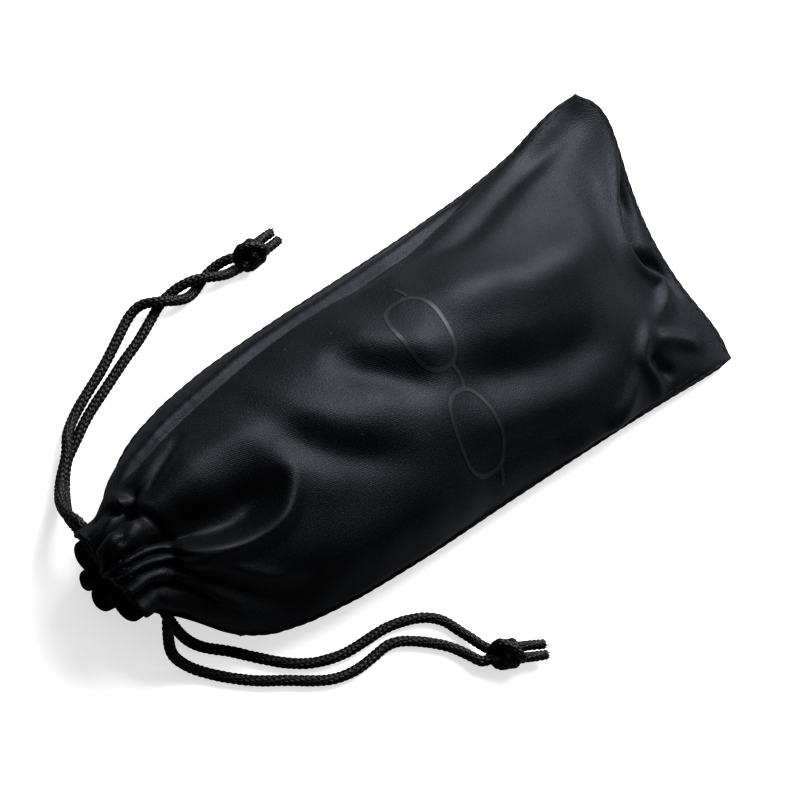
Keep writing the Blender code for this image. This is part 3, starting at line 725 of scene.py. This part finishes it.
def print_ribbons(tree):
    """The printed lines laid on the cloth."""
    parts = []
    across = np.array((-1.0, -0.5, 0.0, 0.5, 1.0)) * PRINT_LINE / 2
    turn = np.array(Matrix.Rotation(PRINT_TURN, 2))
    for line in print_lines():
        ahead = np.gradient(line, axis=0)
        level = unit(np.column_stack([-ahead[:, 1], ahead[:, 0]]))
        flat = (line[:, None] + level[:, None] * across[None, :, None]).reshape(-1, 2)
        placed = flat @ turn.T + np.array(PRINT_PLACE)
        points = []
        for x, y in placed:
            place, normal, _, _ = tree.ray_cast(Vector((x, y, 0.1)), Vector((0, 0, -1)))
            points.append(place + (normal if normal.z > 0 else -normal) * PRINT_LIFT)
        parts.append((np.array(points), [tuple(face) for face in grid_faces(len(line), len(across))], flat))
    return parts


# ---- materials ----
class Finish:
    """A Principled material, with short calls for the nodes that vary its plain colour and roughness."""

    def __init__(self, name, colour, roughness, **sockets):
        self.material = bpy.data.materials.new(name)
        self.material.use_nodes = True
        self.tree = self.material.node_tree
        self.shader = self.tree.nodes["Principled BSDF"]
        self.shade(Base_Color=colour, Roughness=roughness, **sockets)

    def fill(self, node, values):
        """Gives each socket, by name or number, its value, a colour or another node's output."""
        for socket, value in values.items():
            slot = node.inputs[socket.replace("_", " ") if isinstance(socket, str) else socket]
            if isinstance(value, bpy.types.NodeSocket):
                self.tree.links.new(value, slot)
            elif slot.type == "RGBA":
                slot.default_value = (*value, 1.0)
            else:
                slot.default_value = value
        return node

    def shade(self, **values):
        self.fill(self.shader, values)

    def node(self, kind, settings=(), **values):
        made = self.tree.nodes.new("ShaderNode" + kind)
        for attribute, value in settings:
            setattr(made, attribute, value)
        return self.fill(made, values)

    def math(self, operation, first, second=0.0):
        return self.fill(self.node("Math", [("operation", operation)]), {0: first, 1: second}).outputs[0]

    def spread(self, value, low, high, **limits):
        """A value from between its own limits, 0 and 1 unless given, to between low and high."""
        return self.node("MapRange", Value=value, To_Min=low, To_Max=high, **limits).outputs["Result"]

    def flat(self):
        """Places on the uncut material."""
        return self.node("UVMap", [("uv_map", "Flat")]).outputs["UV"]

    def grain(self, place, scale, detail=2.0):
        return self.node("TexNoise", Vector=place, Scale=scale, Detail=detail).outputs["Fac"]

    def bump(self, height, strength, distance):
        bump = self.node("Bump", Height=height, Strength=strength, Distance=distance)
        self.shade(Normal=bump.outputs["Normal"])


def cloth_finish():
    """Blue-black satin microfibre: a fine twill, an uneven sheen, pale ends of fibre and specks of lint."""
    finish = Finish("satin_microfibre", (0.0040, 0.0043, 0.0058), 0.54,
                    Sheen_Weight=0.03, Sheen_Roughness=0.40, Sheen_Tint=(0.60, 0.68, 0.90),
                    Specular_IOR_Level=0.55, Specular_Tint=(0.84, 0.89, 1.0))
    flat = finish.flat()
    split = finish.node("SeparateXYZ", Vector=flat).outputs
    diagonal = finish.math("ADD", split["X"], finish.math("MULTIPLY", split["Y"], 0.8))
    twill = finish.math("SINE", finish.math("MULTIPLY", diagonal, 2 * math.pi / TWILL))
    across = finish.math("SUBTRACT", split["X"], split["Y"])
    picks = finish.math("SINE", finish.math("MULTIPLY", across, 2 * math.pi / PICKS))
    weave = finish.math("ADD", twill, finish.math("MULTIPLY", picks, 0.2))
    fuzz = finish.math("MULTIPLY", finish.grain(flat, 2900.0, 4.0), 12.0)
    finish.bump(finish.math("ADD", weave, fuzz), 0.30, 0.00004)
    cloudy = finish.grain(flat, 60.0, 4.0)
    finish.shade(Roughness=finish.spread(cloudy, 0.51, 0.60, From_Min=0.3, From_Max=0.7))
    ends = finish.spread(finish.grain(flat, 2700.0), 0.0, 0.80, From_Min=0.52, From_Max=0.76)
    lint = finish.node("TexVoronoi", Vector=flat, Scale=260.0, Randomness=1.0).outputs
    speck = finish.spread(lint["Distance"], 0.0, 1.0, From_Min=0.10, From_Max=0.04)
    chosen = finish.node("SeparateColor", Color=lint["Color"]).outputs["Red"]
    few = finish.math("MULTIPLY", speck, finish.math("GREATER_THAN", chosen, 0.90))
    pale = finish.math("MAXIMUM", ends, few)
    colour = finish.node("Mix", [("data_type", "RGBA")], Factor=pale)
    finish.fill(colour, {6: (0.0026, 0.0028, 0.0038), 7: (0.052, 0.056, 0.068)})
    finish.shade(Base_Color=colour.outputs[2])
    return finish.material


def cord_finish():
    """Glossy black polyester yarn, with fibres along each stitch."""
    finish = Finish("braided_cord_yarn", (0.0240, 0.0245, 0.0265), 0.42, Specular_IOR_Level=0.42)
    along = finish.node("Mapping", Vector=finish.flat(), Scale=(3000.0, 9000.0, 1.0)).outputs["Vector"]
    fibres = finish.grain(along, 1.0)
    finish.bump(fibres, 0.5, 0.00008)
    finish.shade(Roughness=finish.spread(fibres, 0.34, 0.52))
    return finish.material


def thread_finish():
    """Twisted black sewing thread."""
    finish = Finish("sewing_thread", (0.0080, 0.0085, 0.0105), 0.50, Specular_IOR_Level=0.50)
    place = finish.node("TexCoord").outputs["Object"]
    twist = finish.node("TexWave", [("bands_direction", "DIAGONAL")], Vector=place, Scale=1500.0,
                        Distortion=1.0)
    finish.bump(twist.outputs["Fac"], 0.6, 0.00005)
    return finish.material


def print_finish():
    """A thin, slightly glossy dark grey print with a fine grain."""
    finish = Finish("faint_print", (0.034, 0.036, 0.041), 0.45, Specular_IOR_Level=0.45)
    finish.bump(finish.grain(finish.flat(), 2500.0), 0.3, 0.00004)
    return finish.material


def floor_finish():
    """A plain pale floor. The camera sees it a little brighter than it lights the pouch."""
    finish = Finish("pale_floor", (0.60, 0.60, 0.60), 0.75, Specular_IOR_Level=0.2,
                    Emission_Color=(0.42, 0.42, 0.42))
    finish.shade(Emission_Strength=finish.node("LightPath").outputs["Is Camera Ray"])
    finish.bump(finish.grain(finish.node("TexCoord").outputs["Object"], 400.0), 0.05, 0.0002)
    return finish.material


# ---- cords ----
def braid_radius(length, angle, radius):
    """Radius of a cord knitted in columns of V stitches, at a length along it and an angle round it."""
    column = (angle / (2 * math.pi) + length / BRAID_TURN) * BRAID_COLUMNS
    across = np.abs(2 * (column - np.floor(column)) - 1)
    half = math.pi * radius / BRAID_COLUMNS
    phase = (length - across * half * 1.1) / BRAID_PITCH
    phase = phase - np.floor(phase)
    arm = 1 - np.abs(2 * phase - 1) ** 2.2
    leaf = 1 - np.abs(2 * across - 1) ** 2.6
    return radius * 1.03 - BRAID_RELIEF * (1 - np.sqrt(np.maximum(arm * (0.25 + 0.75 * leaf), 0.0)))


def braid(path, diameter=CORD, sides=50):
    """A braided cord's tube along an evenly spaced path."""
    angle = np.linspace(0, 2 * math.pi, sides, endpoint=False)
    return tube(path, braid_radius(lengths_along(path)[:, None], angle[None], diameter / 2), sides)


def root_points(route, side):
    """The straight stretch of a strand inside its slit."""
    x, _, z = route[0]
    reaches = (SLIT_ROOT - HIDDEN_ROOT, SLIT_ROOT, SLIT_ROOT + 0.0035)
    return [(x, MOUTH[1] + SIDES[side] * reach, z) for reach in reaches]


def twisted_points(phase):
    """One strand of the twisted pair along TWIST_ROUTE."""
    line = smooth_route(TWIST_ROUTE, POINT_SPACING / 2)
    points = []
    for index, point in enumerate(line):
        ahead = line[min(index + 1, len(line) - 1)] - line[max(index - 1, 0)]
        level = unit(np.array((-ahead[1], ahead[0], 0.0)))
        angle = TWIST_START + phase + 2 * math.pi * TWIST_TURNS * index / (len(line) - 1)
        points.append(point + TWIST_RADIUS * (level * math.cos(angle) + np.array((0, 0, math.sin(angle)))))
    return points


def knot_entry(knot, side):
    """Where a strand ends inside its knot."""
    entry = Vector((-0.0026, side * 0.0013, -0.0002))
    return np.array(knot.place + Matrix.Rotation(knot.turn, 3, "Z") @ entry)


def make_strands(finish):
    """Each free strand with its centre line and the point where it leaves its slit."""
    guides = {
        ("left", 1): (LEFT_ROUTE_1, twisted_points(0.0)),
        ("left", 2): (LEFT_ROUTE_2, twisted_points(math.pi)),
        ("right", 1): (RIGHT_ROUTE_1, []),
        ("right", 2): (RIGHT_ROUTE_2, []),
    }
    strands = {}
    for (side, number), (route, rest) in guides.items():
        guide = [*root_points(route, side), *route, *rest]
        entries = [knot_entry(KNOTS[side], entry) for entry in (-1, 1)]
        nearest = min(entries, key=lambda entry: abs(entry[1] - guide[-1][1]))
        path = even_route([*guide, nearest], CORD_STEP, 0.003)
        points, faces, flat = braid(path)
        strand = make_object(f"{side}_strand_{number}_cord", points, faces, finish, flat)
        strands[side, number] = (strand, path, route[0])
    return strands


def ring_path(side):
    """A drawstring's run round the mouth inside the channel."""
    opening = math.radians(33)
    angle = np.linspace(opening, 2 * math.pi - opening, 60)
    across = SIDES[side] * np.cos(angle)
    return np.stack([RING_X[side] + RING_SLANT * (1 - across) / 2, MOUTH[1] + CORD_RING * across,
                     MOUTH[2] + CORD_RING * np.sin(angle)], axis=1)


def knot_paths():
    """Cord paths of an overhand knot tied in a doubled cord, round the origin, with the cord along X."""
    paths = []
    for side in (-1, 1):
        angle = np.linspace(math.radians(-30), math.radians(360), 90)
        x = side * 0.00118 + 0.0011 * np.sin(angle) + 0.0004 * np.cos(2 * angle)
        ring = np.stack([x, 0.00265 * np.cos(angle), 0.00255 * np.sin(angle)], axis=1)
        paths.append(even_route(ring, 0.0002, 0.0008))
        core = [(-0.0043, side * 0.0012, 0.0), (-0.0020, side * 0.0010, 0.0002), (0.0, side * 0.0009, 0.0),
                (0.0020, side * 0.0011, -0.0002), (0.0043, side * 0.0015, -0.0004)]
        paths.append(even_route(core, 0.0002, 0.0008))
    bight = [(-0.0036, 0.0016, 0.0012), (-0.0024, 0.0024, 0.0030), (0.0004, 0.0008, 0.0040),
             (0.0026, -0.0016, 0.0032), (0.0036, -0.0020, 0.0008)]
    paths.append(even_route(bight, 0.0002, 0.0010))
    return paths


def make_knot(side, finish):
    points, faces, flat = joined([braid(path, KNOT_CORD, 40) for path in knot_paths()])
    rotation = np.array(Matrix.Rotation(KNOTS[side].turn, 3, "Z"))
    points = points @ rotation.T + np.array(KNOTS[side].place)
    return make_object(f"{side}_knot_cord", points, faces, finish, flat)


def frayed_tip(place, direction, seed):
    """Loose fibres at a cut end."""
    maker = np.random.default_rng(seed)
    level = unit(np.cross(direction, (0.0, 0.0, 1.0)))
    upward = np.cross(level, direction)
    parts = []
    for _ in range(FIBRES):
        angle, reach = maker.uniform(0, 2 * math.pi), 0.0011 * math.sqrt(maker.uniform())
        root = place + reach * (level * math.cos(angle) + upward * math.sin(angle)) - direction * 0.0004
        lean = (level * maker.normal() + upward * maker.normal()) * 0.00045
        length = maker.uniform(0.0008, 0.0017)
        path = [root, root + direction * length * 0.5 + lean * 0.3, root + direction * length + lean]
        path = even_route(path, 0.0002, 0.0003)
        parts.append(tube(path, np.linspace(0.00009, 0.00004, len(path))[:, None], 5))
    return parts


def make_cut_ends(side, finish):
    """The two short cut ends past a knot, each with a frayed tip."""
    knot = KNOTS[side]
    along = np.array((math.cos(knot.turn), math.sin(knot.turn), 0.0))
    level = np.array((-along[1], along[0], 0.0))
    ends = []
    for number, apart in enumerate((-1, 1), start=1):
        start = np.array(knot.place) + along * (knot.half_length - ENDS_OVERLAP)
        start = start + level * apart * ENDS_SPREAD / 2
        end = start + along * (knot.ends_length + ENDS_OVERLAP) + np.array((0, 0, -0.0012))
        middle = (start + end) / 2 + level * apart * 0.0001
        path = even_route([start, middle, end], CORD_STEP, 0.001)
        fray = frayed_tip(path[-1], unit(path[-1] - path[-8]), knot.seed + number)
        points, faces, flat = joined([braid(path, CUT_END_CORD, 44), *fray])
        ends.append(make_object(f"{side}_cut_end_{number}_cord", points, faces, finish, flat))
    return ends


# ---- scene ----
def make_camera():
    forward = (CAMERA_TARGET - CAMERA_PLACE).normalized()
    level = forward.cross(Vector((0, 0, 1))).normalized()
    upright = level.cross(forward)
    right = level * math.cos(CAMERA_ROLL) + upright * math.sin(CAMERA_ROLL)
    up = upright * math.cos(CAMERA_ROLL) - level * math.sin(CAMERA_ROLL)
    lens = bpy.data.cameras.new("camera")
    lens.lens = CAMERA_LENS
    lens.sensor_width = 36.0
    lens.clip_start = 0.01
    camera = bpy.data.objects.new("camera", lens)
    turn = Matrix((right, up, -forward)).transposed()
    camera.matrix_world = Matrix.Translation(CAMERA_PLACE) @ turn.to_4x4()
    bpy.context.scene.camera = link(camera)


def make_sky():
    """A bright tent that is lightest over the pouch's left side."""
    world = bpy.data.worlds.new("studio")
    bpy.context.scene.world = world
    world.use_nodes = True
    tree = world.node_tree
    direction = tree.nodes.new("ShaderNodeTexCoord")
    facing = tree.nodes.new("ShaderNodeVectorMath")
    facing.operation = "DOT_PRODUCT"
    facing.inputs[1].default_value = Vector(SKY_DIRECTION).normalized()
    tree.links.new(direction.outputs["Generated"], facing.inputs[0])
    strength = tree.nodes.new("ShaderNodeMapRange")
    strength.interpolation_type = "SMOOTHSTEP"
    for socket, value in zip(("From Min", "From Max", "To Min", "To Max"), (*SKY_COSINES, *SKY_STRENGTHS)):
        strength.inputs[socket].default_value = value
    tree.links.new(facing.outputs["Value"], strength.inputs["Value"])
    tree.links.new(strength.outputs["Result"], tree.nodes["Background"].inputs["Strength"])


def make_key():
    """One soft lamp, for the shadows."""
    light = bpy.data.lights.new("key", "AREA")
    light.shape = "SQUARE"
    light.size = KEY_SIZE
    light.energy = KEY_POWER
    lamp = link(bpy.data.objects.new("key", light))
    lamp.location = KEY_PLACE
    lamp.rotation_euler = (-Vector(KEY_PLACE)).to_track_quat("-Z", "Y").to_euler()


def make_floor():
    slab = bmesh.new()
    bmesh.ops.create_grid(slab, x_segments=60, y_segments=60, size=FLOOR_HALF)
    mesh = bpy.data.meshes.new("floor")
    slab.to_mesh(mesh)
    slab.free()
    mesh.materials.append(floor_finish())
    link(bpy.data.objects.new("floor", mesh))


# ---- the object ----
def add_piece(piece, slot, body, *nodes):
    """Attaches a piece to the body that carries it and hides the CAD nodes that it stands for; the slot is
    not used.
    """
    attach(piece, body)
    if nodes:
        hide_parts(*nodes)
    return piece


def add_thread(name, parts, finish, node):
    points, faces, _ = joined(parts)
    add_piece(make_object(name, points, faces, finish), "thread", "pouch", node)


def add_channel(side, outer, outward, cloth, thread):
    """The channel's inner layer, and the topstitches along its gathered foot."""
    inner = hem_grid(outer, outward)
    hem = make_object(f"{side}_channel_hem_cloth", inner.reshape(-1, 3), grid_faces(*inner.shape[:2]), cloth,
                      flat_places(inner).reshape(-1, 2))
    thicken(hem, HEM_CLOTH, 0.0)
    add_piece(hem, "cloth", "pouch", f"{side}_channel_hem")
    columns = np.linspace(0.02, 0.98, 200) * (COLUMNS - 1)
    foot = at_grid(outer, np.full(200, row_at(outer, CHANNEL_X)), columns)
    rows = [row_at(outer, max(foot_x(TOPSTITCH_BOW * y), TOPSTITCH_FIRST_X)) for y in foot[:, 1]]
    add_thread(f"{side}_channel_topstitch", stitches(outer, outward, np.array(rows), columns, TOPSTITCH),
               thread, f"{side}_channel_thread")
    return hem


def add_edges(middle, finish):
    """The rolled edges of the sewn sides, along the line between the two panels."""
    lines = {
        "left_seam_rolled_edge": (middle[:, -1], "left_seam_edge"),
        "right_seam_rolled_edge": (middle[:, 0], "right_seam_edge"),
        "closed_end_rolled_edge": (middle[-1], "closed_end_seam_edge"),
    }
    for name, (line, node) in lines.items():
        points, faces, flat = scalloped_edge(line)
        add_piece(make_object(name, points, faces, finish, flat), "cloth", "pouch", node)


def add_seam_threads(grids, first_row, finish):
    """The stitches of the side seams, the slits' bars and the stitches of the closed end."""
    for side in SIDES:
        sewn = []
        for outer, outward in grids:
            rows = np.arange(first_row, len(outer) - 4)
            columns = inset_columns(outer, rows, side == "left")
            sewn += stitches(outer, outward, rows.astype(float), columns, STITCH)
        add_thread(f"{side}_seam_stitches", sewn, finish, f"{side}_seam_thread")
        add_thread(f"{side}_slit_zigzag", [bartack(side)], finish, f"{side}_slit_bartack")
    sewn = []
    for outer, outward in grids:
        columns = np.linspace(0.03, 0.97, 300) * (COLUMNS - 1)
        sewn += stitches(outer, outward, np.full(300, len(outer) - END_INSET_ROWS), columns, STITCH)
    add_thread("closed_end_stitches", sewn, finish, "closed_end_thread")


def add_print(front, finish):
    """The outline of a pair of glasses that takes the place of the real pouch's lettering."""
    faces = [tuple(face) for face in grid_faces(*front.shape[:2]).tolist()]
    tree = BVHTree.FromPolygons([tuple(point) for point in front.reshape(-1, 3)], faces)
    points, faces, flat = joined(print_ribbons(tree))
    add_piece(make_object("glasses_outline_print", points, faces, finish, flat), "cloth", "pouch")


def add_drawstrings(finish):
    """The hidden runs, then each drawstring's knot, cut ends and free strands."""
    for side in SIDES:
        points, faces, flat = braid(even_route(ring_path(side), CORD_STEP, 0.001))
        add_piece(make_object(f"{side}_channel_run_cord", points, faces, finish, flat), "cord", "pouch",
                  f"{side}_drawstring_channel_run")
    strands = make_strands(finish)
    for side in SIDES:
        body = f"{side}_drawstring"
        ball = add_piece(make_knot(side, finish), "cord", body, f"{body}_knot")
        tips = make_cut_ends(side, finish)
        for number, tip in enumerate(tips, start=1):
            add_piece(tip, "cord", body, f"{body}_cut_end_{number}")
        for number in (1, 2):
            strand, path, leaves = strands[side, number]
            add_piece(strand, "cord", body, f"{body}_strand_{number}")


make_camera()
make_sky()
make_key()
make_floor()
CLOTH_FINISH = cloth_finish()
CORD_FINISH = cord_finish()
THREAD_FINISH = thread_finish()
PRINT_FINISH = print_finish()

grids = {}
for side in ("front", "back"):
    panel, outer, outward = make_panel(side, CLOTH_FINISH)
    add_piece(panel, "cloth", "pouch", f"{side}_panel")
    hem = add_channel(side, outer, outward, CLOTH_FINISH, THREAD_FINISH)
    grids[side] = (outer, outward)
front, back = grids["front"][0], grids["back"][0]
first_row = int(row_at(front, SEAM_START_X))
add_edges((front + back)[first_row:] / 2, CLOTH_FINISH)
add_seam_threads(grids.values(), first_row, THREAD_FINISH)
add_print(front, PRINT_FINISH)
add_drawstrings(CORD_FINISH)

bpy.context.scene.view_settings.view_transform = "Standard"
bpy.context.scene.view_settings.look = "Very High Contrast"
